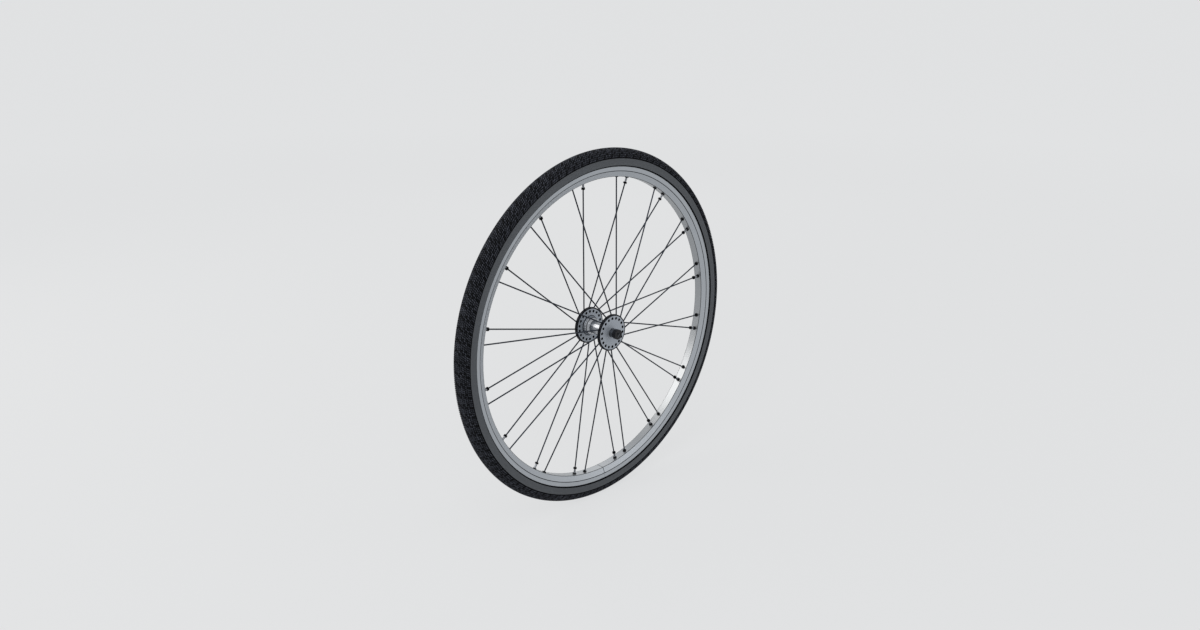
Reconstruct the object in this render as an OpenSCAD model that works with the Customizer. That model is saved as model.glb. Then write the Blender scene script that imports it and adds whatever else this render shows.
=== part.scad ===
// Bicycle front wheel, 622 mm rim and 38 mm tyre, on a 100 mm hub for a 9 mm thru bolt.
// Millimetres. The origin is the wheel's centre, the axle runs along Y, and +Z is up.
// Right is the -Y side and left is the +Y side. Wheel angles run from +X towards +Z.

/* [Tyre] */
// Radius of the tyre over its tread
tyre_r = 349.5; // [346:0.5:354]
// Radius of the crown's arc, seen in section
crown_r = 20; // [19:0.5:22]
// Radius of each shoulder's arc, seen in section
shoulder_r = 14; // [13:0.5:14.5]
// Sideways offset of each shoulder arc's centre
shoulder_s = 3.4; // [3:0.1:3.8]
// Wheel radius where the tread stops and the sidewall starts
tread_edge_r = 331.3; // [330:0.1:333]
// Half width over the sidewalls
sidewall_s = 17; // [16.8:0.1:17.2]
// Wheel radius of the sidewall's lower corner
sidewall_low_r = 318.2; // [317.5:0.1:319]
// Radius of the casing's round cavity, seen in section
casing_r = 14.3; // [13.5:0.1:14.5]
// Wheel radius of the middle of that cavity
casing_mid_r = 330.6; // [329.5:0.1:331]

/* [Rim] */
// Outer radius of the rim
rim_r = 315.9; // [315:0.1:316]
// Half width over the rim's outer edges
rim_s = 14.7; // [14.3:0.1:15]
// Wheel radius where the braking face ends and the sloped face starts
brake_low_r = 307.6; // [306.8:0.1:308]
// Half width at the foot of the braking face
brake_low_s = 13.2; // [13:0.1:13.5]
// Wheel radius of the spoke bed
bed_r = 296.5; // [295.5:0.1:297]
// Half width of the spoke bed
bed_s = 8.2; // [8:0.1:8.8]
// Half width of the room between the rim's two flanges
bead_s = 12.4; // [12.3:0.1:12.6]
// Thickness of the wall under the spoke bed
bed_wall = 2.4; // [2:0.1:2.6]
// Width of the seam where the rolled rim's ends meet
seam_w = 0.35; // [0.2:0.05:0.6]
// Length of the sleeve that joins the rim's ends, in degrees of the wheel
sleeve_deg = 10; // [6:1:12]

/* [Spokes] */
// Number of spokes
spoke_count = 32; // [32:4:32]
// Diameter of a spoke
spoke_d = 2.6; // [2:0.1:2.6]
// Wheel radius at which the hub angle and the hub width of a spoke hold
spoke_root_r = 30; // [29.6:0.1:30.4]
// Sideways offset of a spoke at that radius
spoke_root_s = 31.1; // [30.7:0.1:31.3]
// How far a spoke leans from its rim angle to its hub angle, in degrees
spoke_lean = 16.875; // [15:0.125:18]
// Distance that a spoke's end stands clear of that radius, along the spoke
spoke_start = 1.6; // [1.5:0.1:2]
// Diameter of the nipples
nipple_d = 3.9; // [3.6:0.1:4]
// Wheel radius of the hub end of the long nipples, on the left
long_nipple_r = 283.3; // [280:0.1:288]
// Wheel radius of the hub end of the short nipples, on the right
short_nipple_r = 295.3; // [294.5:0.1:295.4]

/* [Hub] */
// Radius of the flanges
flange_r = 35.8; // [34.6:0.1:36]
// Offset of each flange's outer face
flange_out_s = 33.6; // [33.4:0.1:34]
// Offset of each flange's inner face
flange_in_s = 27.6; // [27:0.1:28]
// Number of lightening holes in each flange
flange_holes = 18; // [18:1:18]
// Radius of the circle that they lie on
flange_hole_pcr = 28.55; // [28:0.05:28.7]
// Diameter of the lightening holes
flange_hole_d = 4; // [2.8:0.1:4]
// Diameter of their countersinks, on both faces of a flange
flange_sink_d = 5.6; // [4.2:0.1:5.8]
// Radius of the hub's barrel
barrel_r = 12.5; // [12:0.1:13]
// Half length of the barrel, up to its end cones
barrel_s = 15.4; // [15:0.1:16]
// Radius of a bearing housing where its cone starts
housing_r = 17.4; // [17:0.1:18]
// Offset of that place
housing_s = 20; // [19.5:0.1:20.5]
// Radius of a bearing housing where it meets its flange
housing_root_r = 19.5; // [19:0.1:20]

/* [Axle] */
// Distance over the end caps
hub_w = 100; // [100:1:104]
// Radius of the hole for the thru bolt
bolt_r = 4.6; // [4.55:0.01:4.65]
// Radius of the end caps
cap_r = 9.8; // [9:0.1:10]
// Offset of an end cap's inner end
cap_in_s = 42.5; // [40:0.5:44]
// Radius of the spacers between the bearings and the end caps
spacer_r = 8.7; // [8:0.1:8.8]

/* [Bearings] */
// Bore radius of the bearings
bearing_in_r = 6; // [6:0.1:6]
// Outer radius of the bearings
bearing_out_r = 14; // [14:0.1:14]
// Width of the bearings
bearing_w = 8; // [8:0.5:8]
// Offset of a bearing's inner face
bearing_s = 24; // [23.9:0.1:24]
// Number of balls in a bearing
ball_count = 8; // [6:1:9]
// Diameter of the balls
ball_d = 4.762; // [4.7:0.001:4.8]
// Gap between a ball and its grooves
ball_gap = 0.03; // [0.02:0.01:0.06]

/* [Hidden] */
$fn = 180;
eps = 0.01;
tread_lap = 0.5;

side_spokes = spoke_count / 2;
pair_deg = 360 / side_spokes;
pair_split = pair_deg / 8;
rim_hole_r = bed_r + 0.8;
rim_drill_r = 2.65;
eyelet_in_r = 2.3;
eyelet_tube_r = 2.6;
eyelet_flange_r = 3.7;
eyelet_flange_h = 1.7;
eyelet_seat_gap = 0.04;
eyelet_end_r = bed_r + bed_wall + 0.2;
nipple_head_r = 3.1;
nipple_head_low_r = eyelet_end_r + 0.45;
nipple_head_cone = 1;
nipple_head_h = 2.4;
nipple_bore_r = spoke_d / 2 + 0.05;
collar_r = 3.5;
collar_h = 3.2;
access_r = 4.75;
spoke_tip_gap = 0.6;

well_r = 307.5;
well_s = 6;
shelf_r = 310.6;
shelf_s = 8.8;
box_low_s = 7.6;
box_high_r = 305.9;
box_high_s = 10.7;
tape_t = 0.5;
bead_foot_s = 9.2;
bead_neck_s = 10.6;
bead_gap = 0.1;
insert_gap = 0.3;
sleeve_gap = 0.1;

counterbore_r = 2.2;
counterbore_depth = 1.2;
flange_chamfer = 0.5;
shell_bore_r = 9;
cap_wall = 0.8;
cap_chamfer = 0.4;
axle_mid_r = 7;
shaft_gap = 0.02;
cover_w = 1.5;
cover_gap = 0.35;
race_pitch_r = (bearing_in_r + bearing_out_r) / 2;
inner_land_r = 8.4;
outer_land_r = 11.6;
seal_seat_r = 12.3;
seal_t = 0.6;
seal_gap = 0.1;
seal_inset = 0.1;
cage_half_t = 0.7;
cage_low = 0.8;
cage_high = 3.2;
cage_gap = 0.08;
bearing_mid_s = bearing_s + bearing_w / 2;

tyre_grey = "#3a3c40";
alloy = "#a3a8ae";
steel = "#6d7277";
bright_steel = "#c3c6c9";
black = "#1d1e21";

// A closed outline from the points of its left half, in order, and their mirror images.
function both_halves(half) = concat(half, [for (i = [len(half) - 1:-1:0]) [half[i][0], -half[i][1]]]);
function two_digits(n) = n < 10 ? str("0", n) : str(n);
function spoke_node(side, n) = str("spoke_", side > 0 ? "left" : "right", "_", two_digits(n));
function rim_deg(side, n) = pair_deg * (n - 0.5) - side * pair_split;
function root_point(side) = [
    spoke_root_r * cos(spoke_lean),
    side * spoke_root_s,
    side * spoke_root_r * sin(spoke_lean)
];
function rim_point() = [rim_hole_r, 0, 0];
function spoke_span(side) = norm(rim_point() - root_point(side));
// Distance along a spoke at which it passes a wheel radius near the rim.
function along_to(side, r) = spoke_span(side) * (1 - (rim_hole_r - r) / (rim_hole_r - root_point(side)[0]));

// ---- Placing ----

// Turns a solid of revolution from the Z axis to the axle's axis, Y.
module about_axle() {
    rotate([-90, 0, 0]) children();
}

// Turns its children round the axle by a wheel angle.
module at_deg(deg) {
    rotate([0, -deg, 0]) children();
}

// Puts a solid made for the left side on the side asked for.
module on_side(side) {
    mirror([0, side > 0 ? 0 : 1, 0]) children();
}

// A turned ring about the axle, between two radii and two offsets.
module ring(r_out, r_in, s_low, s_high) {
    about_axle() {
        difference() {
            translate([0, 0, s_low]) cylinder(r = r_out, h = s_high - s_low);
            translate([0, 0, s_low - 1]) cylinder(r = r_in, h = s_high - s_low + 2);
        }
    }
}

// Lays its children's Z axis along a spoke whose rim hole is at wheel angle 0, from its root.
module along_spoke(side) {
    run = rim_point() - root_point(side);
    translate(root_point(side))
        rotate([0, acos(run[2] / norm(run)), atan2(run[1], run[0])])
            children();
}

// Repeats its children at the rim angle of each spoke of one side.
module each_spoke(side) {
    for (n = [1:side_spokes]) {
        at_deg(rim_deg(side, n)) children();
    }
}

// ---- Tyre ----

// The tread's outline in section: a crown arc that runs into an arc on each shoulder.
module tread_outline() {
    crown_mid_r = tyre_r - crown_r;
    mid_gap = crown_r - shoulder_r;
    shoulder_mid_r = crown_mid_r + sqrt(mid_gap * mid_gap - shoulder_s * shoulder_s);
    blend_deg = asin(shoulder_s / mid_gap);
    reach = 2 * crown_r;
    intersection() {
        translate([crown_mid_r, 0]) circle(r = crown_r);
        polygon([
            [crown_mid_r, 0],
            [crown_mid_r + reach * cos(blend_deg), -reach * sin(blend_deg)],
            [crown_mid_r + reach * cos(blend_deg), reach * sin(blend_deg)]
        ]);
    }
    translate([shoulder_mid_r, -shoulder_s]) circle(r = shoulder_r);
    translate([shoulder_mid_r, shoulder_s]) circle(r = shoulder_r);
}

// The casing below the tread: sidewalls, their lips over the rim's edge, and the bead feet.
module sidewall_outline() {
    over_rim_r = rim_r + bead_gap;
    bead_out_s = bead_s - bead_gap;
    half = [
        [shelf_r + bead_gap, bead_out_s],
        [over_rim_r, bead_out_s],
        [over_rim_r, rim_s],
        [sidewall_low_r, sidewall_s],
        [tread_edge_r, sidewall_s]
    ];
    polygon(both_halves(half));
}

// The hollow of the casing from wheel radius low_r up, drawn in by shrink at its sides.
module casing_hollow(low_r, shrink) {
    translate([casing_mid_r, 0]) circle(r = casing_r - shrink);
    polygon([
        [casing_mid_r, casing_r - shrink],
        [rim_r + 1, bead_neck_s - shrink],
        [low_r, bead_foot_s - shrink],
        [low_r, -bead_foot_s + shrink],
        [rim_r + 1, -bead_neck_s + shrink],
        [casing_mid_r, -casing_r + shrink]
    ]);
}

module tyre() {
    color(tyre_grey) about_axle() difference() {
        union() {
            rotate_extrude() difference() {
                tread_outline();
                translate([0, -tyre_r]) square([tread_edge_r - tread_lap, 2 * tyre_r]);
            }
            rotate_extrude() sidewall_outline();
        }
        rotate_extrude() casing_hollow(shelf_r - 1, 0);
    }
}

// A closed-cell ring that carries the tyre without air, so the wheel has no valve.
module tyre_insert() {
    color("#8c8f86") about_axle() rotate_extrude() casing_hollow(shelf_r + insert_gap, insert_gap);
}

// ---- Rim ----

// The rim's section: braking faces, sloped faces, spoke bed and the tyre's seat.
module rim_outline() {
    half = [
        [bed_r, bed_s],
        [brake_low_r, brake_low_s],
        [rim_r, rim_s],
        [rim_r, bead_s],
        [shelf_r, bead_s],
        [shelf_r - 0.4, shelf_s],
        [well_r, well_s]
    ];
    polygon(both_halves(half));
}

// The hollow of the rim's box section, drawn in by shrink for the sleeve that plugs it.
module rim_box(shrink) {
    low_r = bed_r + bed_wall + shrink;
    high_r = box_high_r - shrink;
    polygon([
        [low_r, -box_low_s + shrink],
        [low_r, box_low_s - shrink],
        [high_r, box_high_s - 1.4 * shrink],
        [high_r, -box_high_s + 1.4 * shrink]
    ]);
}

module rim() {
    color(alloy) difference() {
        about_axle() rotate_extrude() difference() {
            rim_outline();
            rim_box(0);
        }
        for (side = [-1, 1]) {
            each_spoke(side) {
                translate([bed_r - 1, 0, 0]) rotate([0, 90, 0]) cylinder(r = rim_drill_r, h = bed_wall + 2);
                translate([box_high_r - 1, 0, 0]) rotate([0, 90, 0]) cylinder(r = access_r, h = 5);
            }
        }
        at_deg(-90) translate([bed_r - 5, -rim_s - 1, -seam_w / 2]) cube([30, 2 * rim_s + 2, seam_w]);
    }
}

// The plug inside the rim's hollow that joins its two ends at the bottom of the wheel.
module rim_joint_sleeve() {
    color(steel) at_deg(-90 + sleeve_deg / 2) about_axle()
        rotate_extrude(angle = sleeve_deg) rim_box(sleeve_gap);
}

module rim_tape() {
    color("#c9b38a") ring(well_r + tape_t, well_r, -well_s + 0.1, well_s - 0.1);
}

// ---- Spokes, nipples and eyelets ----

// A ferrule in a spoke hole. Its flat flange stands just clear of the curved spoke bed.
module eyelet() {
    flange_top = bed_r - eyelet_seat_gap;
    flange_low = flange_top - eyelet_flange_h;
    rotate([0, 90, 0]) difference() {
        union() {
            translate([0, 0, flange_low]) cylinder(r = eyelet_flange_r, h = eyelet_flange_h);
            translate([0, 0, flange_top - eps])
                cylinder(r = eyelet_tube_r, h = eyelet_end_r - flange_top + eps);
        }
        translate([0, 0, flange_low - 1]) cylinder(r = eyelet_in_r, h = eyelet_end_r - flange_low + 2);
    }
}

module eyelets() {
    color(black) {
        each_spoke(-1) eyelet();
        each_spoke(1) eyelet();
    }
}

// A nipple from its hub end to its head. A long one has a collar at its hub end.
module nipple(side, end_r, collar) {
    low = along_to(side, end_r);
    head = along_to(side, nipple_head_low_r);
    top = head + nipple_head_cone + nipple_head_h;
    along_spoke(side) difference() {
        union() {
            translate([0, 0, low]) cylinder(d = nipple_d, h = head + nipple_head_cone - low);
            translate([0, 0, head]) cylinder(r1 = nipple_d / 2, r2 = nipple_head_r, h = nipple_head_cone);
            translate([0, 0, head + nipple_head_cone]) cylinder(r = nipple_head_r, h = nipple_head_h);
            if (collar) {
                translate([0, 0, low]) cylinder(r = collar_r, h = collar_h);
            }
        }
        translate([0, 0, low - 1]) cylinder(r = nipple_bore_r, h = top - low + 2);
    }
}

module nipples_left() {
    color(bright_steel) each_spoke(1) nipple(1, long_nipple_r, true);
}

module nipples_right() {
    color(bright_steel) each_spoke(-1) nipple(-1, short_nipple_r, false);
}

module spoke(side, n) {
    tip = along_to(side, nipple_head_low_r) + nipple_head_cone + nipple_head_h - spoke_tip_gap;
    color(steel) at_deg(rim_deg(side, n)) along_spoke(side)
        translate([0, 0, spoke_start]) cylinder(d = spoke_d, h = tip - spoke_start);
}

// ---- Hub ----

// The shell's section: barrel, cones, bearing housings and flanges.
module shell_outline() {
    polygon(both_halves([
        [barrel_r, barrel_s],
        [housing_r, housing_s],
        [housing_root_r, flange_in_s],
        [flange_r - flange_chamfer, flange_in_s],
        [flange_r, flange_in_s + flange_chamfer],
        [flange_r, flange_out_s - flange_chamfer],
        [flange_r - flange_chamfer, flange_out_s],
        [bearing_out_r, flange_out_s],
        [bearing_out_r, bearing_s],
        [shell_bore_r, bearing_s]
    ]));
}

// The blind hole in a flange's edge that a spoke screws into, with its counterbore.
module spoke_socket(side) {
    // Distance along the spoke at which it leaves the flange's edge.
    edge = (sqrt(flange_r * flange_r - pow(spoke_root_r * sin(spoke_lean), 2)) - root_point(side)[0]) * 1.03;
    along_spoke(side) {
        translate([0, 0, spoke_start - 0.1]) cylinder(r = spoke_d / 2 + 0.03, h = edge + 2);
        translate([0, 0, edge - counterbore_depth]) cylinder(r = counterbore_r, h = counterbore_depth + 3);
    }
}

// The countersinks at both ends of a lightening hole, about the hole's own axis.
module flange_sinks(side) {
    depth = (flange_sink_d - flange_hole_d) / 2;
    over = 0.1;
    on_side(side) about_axle() {
        translate([0, 0, flange_out_s - depth])
            cylinder(d1 = flange_hole_d, d2 = flange_sink_d + 2 * over, h = depth + over);
        translate([0, 0, flange_in_s - over])
            cylinder(d1 = flange_sink_d + 2 * over, d2 = flange_hole_d, h = depth + over);
    }
}

module hub_shell() {
    color(alloy) difference() {
        about_axle() rotate_extrude() shell_outline();
        for (n = [0:flange_holes - 1]) {
            at_deg((n + 0.5) * 360 / flange_holes) translate([flange_hole_pcr, 0, 0]) {
                about_axle() translate([0, 0, -flange_out_s - 1])
                    cylinder(d = flange_hole_d, h = 2 * flange_out_s + 2);
                flange_sinks(1);
                flange_sinks(-1);
            }
        }
        each_spoke(1) spoke_socket(1);
        each_spoke(-1) spoke_socket(-1);
    }
}

module dust_cover(side) {
    color(alloy) on_side(side)
        ring(bearing_out_r, spacer_r + cover_gap, flange_out_s - cover_w, flange_out_s);
}

// ---- Bearings ----

// The track that the balls roll in, as a solid to cut from the rings.
module ball_track() {
    about_axle() rotate_extrude() translate([race_pitch_r, bearing_mid_s]) circle(r = ball_d / 2 + ball_gap);
}

module bearing_outer_ring(side) {
    seat_s = bearing_s + bearing_w - seal_t - seal_inset;
    color(bright_steel) on_side(side) difference() {
        ring(bearing_out_r, outer_land_r, bearing_s, bearing_s + bearing_w);
        ball_track();
        ring(seal_seat_r, 1, seat_s, bearing_s + bearing_w + 1);
    }
}

module bearing_inner_ring(side) {
    color(bright_steel) on_side(side) difference() {
        ring(inner_land_r, bearing_in_r, bearing_s, bearing_s + bearing_w);
        ball_track();
    }
}

// Puts its children at each ball's middle, with +X pointing away from the axle.
module each_ball() {
    for (n = [0:ball_count - 1]) {
        at_deg(n * 360 / ball_count) translate([race_pitch_r, bearing_mid_s, 0]) children();
    }
}

module bearing_balls(side) {
    color(bright_steel) on_side(side) each_ball() sphere(d = ball_d);
}

// A crown cage: a ring on one side of the balls, with fingers between them.
module bearing_cage(side) {
    color("#d8cfae") on_side(side) difference() {
        ring(
            race_pitch_r + cage_half_t,
            race_pitch_r - cage_half_t,
            bearing_mid_s - cage_low,
            bearing_mid_s + cage_high
        );
        each_ball() rotate([0, 90, 0]) cylinder(d = ball_d + 2 * cage_gap, h = 6, center = true);
    }
}

module bearing_seal(side) {
    seal_out_s = bearing_s + bearing_w - seal_inset;
    color(black) on_side(side) ring(seal_seat_r, inner_land_r + seal_gap, seal_out_s - seal_t, seal_out_s);
}

// ---- Axle ----

module axle() {
    end_s = hub_w / 2 - cap_wall;
    color(bright_steel) about_axle() difference() {
        union() {
            translate([0, 0, -end_s]) cylinder(r = bearing_in_r - shaft_gap, h = 2 * end_s);
            translate([0, 0, -bearing_s]) cylinder(r = axle_mid_r, h = 2 * bearing_s);
        }
        translate([0, 0, -end_s - 1]) cylinder(r = bolt_r, h = 2 * end_s + 2);
    }
}

module spacer(side) {
    color(bright_steel) on_side(side) ring(spacer_r, bearing_in_r, bearing_s + bearing_w, cap_in_s);
}

module end_cap(side) {
    end_s = hub_w / 2;
    color(black) on_side(side) about_axle() difference() {
        union() {
            translate([0, 0, cap_in_s]) cylinder(r = cap_r, h = end_s - cap_chamfer - cap_in_s);
            translate([0, 0, end_s - cap_chamfer])
                cylinder(r1 = cap_r, r2 = cap_r - cap_chamfer, h = cap_chamfer);
        }
        translate([0, 0, cap_in_s - 1]) cylinder(r = bearing_in_r, h = end_s - cap_wall - cap_in_s + 1);
        translate([0, 0, cap_in_s - 1]) cylinder(r = bolt_r, h = end_s - cap_in_s + 2);
    }
}

// ---- The wheel ----

tyre();
tyre_insert();
rim_tape();
rim();
rim_joint_sleeve();
eyelets();
nipples_left();
nipples_right();
for (n = [1:side_spokes]) {
    spoke(1, n);
    spoke(-1, n);
}
hub_shell();
dust_cover(1);  // dust_cover_left
dust_cover(-1);  // dust_cover_right
bearing_outer_ring(1);  // bearing_outer_ring_left
bearing_outer_ring(-1);  // bearing_outer_ring_right
bearing_inner_ring(1);  // bearing_inner_ring_left
bearing_inner_ring(-1);  // bearing_inner_ring_right
bearing_balls(1);  // bearing_balls_left
bearing_balls(-1);  // bearing_balls_right
bearing_cage(1);  // bearing_cage_left
bearing_cage(-1);  // bearing_cage_right
bearing_seal(1);  // bearing_seal_left
bearing_seal(-1);  // bearing_seal_right
axle();
spacer(1);  // spacer_left
spacer(-1);  // spacer_right
end_cap(1);  // end_cap_left
end_cap(-1);  // end_cap_right
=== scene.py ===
"""Dresses a bicycle's front wheel and stands it in a plain, pale studio.

Everything is in the wheel's own frame: the origin is the wheel's centre, the axle runs along Y, and Z is up.
Sizes are in metres, but for the tyre's, which are in millimetres. "Wheel radius" is the distance from the
axle's line, and "side" is the distance from the wheel's middle plane.
"""

import logging
import math
from collections.abc import Iterable
from dataclasses import dataclass, field
from enum import Enum

import bmesh
import bpy
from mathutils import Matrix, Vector


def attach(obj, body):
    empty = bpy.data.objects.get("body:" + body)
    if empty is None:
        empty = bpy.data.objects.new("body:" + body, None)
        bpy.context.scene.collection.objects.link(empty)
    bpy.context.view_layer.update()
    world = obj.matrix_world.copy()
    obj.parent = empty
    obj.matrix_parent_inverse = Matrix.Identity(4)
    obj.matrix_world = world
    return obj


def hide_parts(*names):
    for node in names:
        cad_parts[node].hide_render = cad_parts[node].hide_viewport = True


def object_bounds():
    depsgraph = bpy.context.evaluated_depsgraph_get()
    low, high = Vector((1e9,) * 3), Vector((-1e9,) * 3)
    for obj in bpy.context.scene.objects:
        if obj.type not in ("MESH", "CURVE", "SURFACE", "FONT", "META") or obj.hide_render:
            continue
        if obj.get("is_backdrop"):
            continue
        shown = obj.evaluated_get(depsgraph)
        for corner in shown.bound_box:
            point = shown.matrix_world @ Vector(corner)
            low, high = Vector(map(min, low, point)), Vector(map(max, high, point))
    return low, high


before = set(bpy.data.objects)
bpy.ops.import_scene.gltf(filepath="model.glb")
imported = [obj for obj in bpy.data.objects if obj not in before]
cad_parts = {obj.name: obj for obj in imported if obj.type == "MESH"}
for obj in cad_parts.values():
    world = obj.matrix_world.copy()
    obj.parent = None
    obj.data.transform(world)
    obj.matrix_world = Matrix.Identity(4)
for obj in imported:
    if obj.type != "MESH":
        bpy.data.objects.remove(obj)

LOG = logging.getLogger("wheel")
MM = 0.001
Colour = tuple[float, float, float]
Socket = bpy.types.NodeSocket
TONE = "tone"
FAR = 1.0


def from_screen(red: float, green: float, blue: float) -> Colour:
    """Turns a colour given as it shows on a screen, 0 to 255, into linear light.

    Args:
        red: Red part.
        green: Green part.
        blue: Blue part.

    Returns:
        The same colour in linear light, 0 to 1.
    """

    def linear(value: float) -> float:
        """Turns one part into linear light."""
        share = value / 255
        return share / 12.92 if share <= 0.04045 else ((share + 0.055) / 1.055) ** 2.4

    return linear(red), linear(green), linear(blue)


def placed(name: str, data: bpy.types.ID) -> bpy.types.Object:
    """Puts a mesh, a light or a camera into the scene as an object at the origin.

    Args:
        name: The object's name.
        data: What the object shows.

    Returns:
        The object.
    """
    thing = bpy.data.objects.new(name, data)
    bpy.context.scene.collection.objects.link(thing)
    return thing


class NodeWriter:
    """Adds nodes to one node tree and joins them up."""

    def __init__(self, tree: bpy.types.NodeTree) -> None:
        """Keeps the tree that the nodes go into."""
        self.tree = tree

    @staticmethod
    def typed(sockets: Iterable[Socket], kind: str, name: str = "") -> Socket:
        """Finds a socket by its kind, where several kinds share a name.

        Args:
            sockets: A node's inputs or outputs.
            kind: The socket's type, such as "RGBA".
            name: The socket's name, or nothing for any name.

        Returns:
            The first socket that fits.
        """
        return next(socket for socket in sockets if socket.type == kind and name in ("", socket.name))

    def add(self, kind: str, **settings: object) -> bpy.types.Node:
        """Adds a node.

        Args:
            kind: The node's type name.
            **settings: Properties to set on the node.

        Returns:
            The new node.
        """
        node = self.tree.nodes.new(kind)
        for name, value in settings.items():
            setattr(node, name, value)
        return node

    def feed(self, socket: Socket, value: object) -> None:
        """Joins another socket to this one, or sets its value.

        Args:
            socket: The input to fill.
            value: Another node's output, or a plain value.
        """
        if isinstance(value, Socket):
            self.tree.links.new(value, socket)
        else:
            socket.default_value = value

    def made(self, kind: str, inputs: dict[str, object], **settings: object) -> bpy.types.Node:
        """Adds a node and fills its named inputs.

        Args:
            kind: The node's type name.
            inputs: Input name to socket or value.
            **settings: Properties to set on the node.

        Returns:
            The new node.
        """
        node = self.add(kind, **settings)
        for name, value in inputs.items():
            self.feed(node.inputs[name], value)
        return node

    def maths(self, operation: str, *values: object, clamp: bool = False) -> Socket:
        """Adds one step of arithmetic.

        Args:
            operation: The Math node's operation, such as "ADD".
            *values: Its one, two or three operands.
            clamp: Whether the result is held between 0 and 1.

        Returns:
            The result's socket.
        """
        node = self.add("ShaderNodeMath", operation=operation, use_clamp=clamp)
        for socket, value in zip(node.inputs, values):
            self.feed(socket, value)
        return node.outputs[0]

    def inside(self, value: object, low: float, high: float, soft: float) -> Socket:
        """Gives 1 where a value lies between two limits and 0 outside them.

        Args:
            value: The value to test.
            low: Lower limit.
            high: Upper limit.
            soft: Width over which the answer changes, centred on each limit.

        Returns:
            The mask's socket.
        """
        half = (high - low) / 2
        off = self.maths("ABSOLUTE", self.maths("SUBTRACT", value, low + half))
        return self.maths("DIVIDE", self.maths("SUBTRACT", half + soft / 2, off), soft, clamp=True)

    def mixed(self, share: object, first: object, second: object) -> Socket:
        """Mixes two colours.

        Args:
            share: How much of the second colour, 0 to 1.
            first: A colour or a socket.
            second: A colour or a socket.

        Returns:
            The mixed colour's socket.
        """
        node = self.made("ShaderNodeMix", {"Factor": share}, data_type="RGBA")
        for name, value in (("A", first), ("B", second)):
            socket = self.typed(node.inputs, "RGBA", name)
            self.feed(socket, (*value, 1.0) if isinstance(value, tuple) else value)
        return self.typed(node.outputs, "RGBA")


class Place:
    """Where a shaded point lies on the wheel, read from Object coordinates."""

    # A pattern's finer layers, how strong each is against the one above it, and the pattern's middle value.
    FEW_LAYERS = 2.0
    MORE_LAYERS = 3.0
    TURNED_FADE = 0.6
    SPECKLED_FADE = 0.55
    MIDDLE = 0.5

    def __init__(self, write: NodeWriter) -> None:
        """Adds the nodes that find the point's wheel radius, its side and its distance from the centre.

        Args:
            write: The material's node writer.
        """
        self.write = write
        self.point = write.add("ShaderNodeTexCoord").outputs["Object"]
        split = write.made("ShaderNodeSeparateXYZ", {"Vector": self.point})
        self.across, self.along, self.up = split.outputs
        squares = write.maths(
            "ADD",
            write.maths("MULTIPLY", self.across, self.across),
            write.maths("MULTIPLY", self.up, self.up),
        )
        self.radius = write.maths("SQRT", squares)
        length = write.add("ShaderNodeVectorMath", operation="LENGTH")
        write.feed(length.inputs[0], self.point)
        self.distance = length.outputs["Value"]
        self.side = write.maths("ABSOLUTE", self.along)

    def turned(self, spacing: float) -> Socket:
        """Gives the uneven rings that a lathe leaves, on faces and barrels alike.

        Args:
            spacing: Distance between rings.

        Returns:
            The pattern's socket, 0 to 1.
        """
        out = self.write.maths("DIVIDE", self.radius, spacing)
        along = self.write.maths("DIVIDE", self.along, spacing)
        lathe = self.write.made("ShaderNodeCombineXYZ", {"X": out, "Y": along})
        noise = self.write.made(
            "ShaderNodeTexNoise",
            {
                "Vector": lathe.outputs[0],
                "Scale": 1.0,
                "Detail": self.FEW_LAYERS,
                "Roughness": self.TURNED_FADE,
            },
        )
        return noise.outputs[0]

    def speckled(self, spacing: float, layers: float = MORE_LAYERS) -> Socket:
        """Gives an even, grainy pattern.

        Args:
            spacing: Size of the largest grains.
            layers: How many finer layers are added.

        Returns:
            The pattern's socket, 0 to 1.
        """
        noise = self.write.made(
            "ShaderNodeTexNoise",
            {
                "Vector": self.point,
                "Scale": 1 / spacing,
                "Detail": layers,
                "Roughness": self.SPECKLED_FADE,
            },
        )
        return noise.outputs[0]


class Grain(Enum):
    """The small pattern that working leaves in a surface."""

    TURNED = "turned"
    SPECKLED = "speckled"


@dataclass(frozen=True)
class Band:
    """A ring of the wheel where a finish takes another colour and gloss.

    It lies between two wheel radii and two distances from the middle plane. With a seam_half above 0, it is
    only the ring's lowest part, that far to each side of the bottom.
    """

    colour: Colour
    roughness: float
    low_r: float = 0.0
    high_r: float = FAR
    low_side: float = -FAR
    high_side: float = FAR
    soft: float = 0.0002
    seam_half: float = 0.0


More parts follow.
